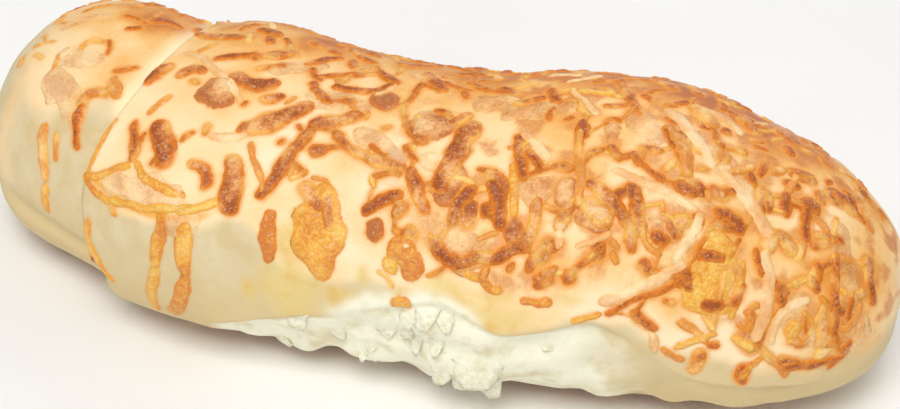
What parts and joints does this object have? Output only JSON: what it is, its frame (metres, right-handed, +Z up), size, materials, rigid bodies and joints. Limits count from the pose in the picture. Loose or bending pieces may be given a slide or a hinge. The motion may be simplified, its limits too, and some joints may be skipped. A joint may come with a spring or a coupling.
{
  "type": "cheese breadstick",
  "caption": "Soft baked bread roll with an uneven rounded bar shape, dough lapped over at one end, a torn side and melted cheese strands on its crust.",
  "frame": {"origin": "middle of the part's box in plan, at the level of the surface it rests on", "axes": "+X along the roll, away from the lapped end; -Y towards the torn side; +Z up"},
  "size_m": [0.1887, 0.0747, 0.0526],
  "materials": {
    "baked_cheese_crust": "golden baked crust with browned cheese, matt and lightly oiled"
  },
  "bodies": {
    "root": {"cheese_breadstick": "baked_cheese_crust"}
  },
  "joints": []
}
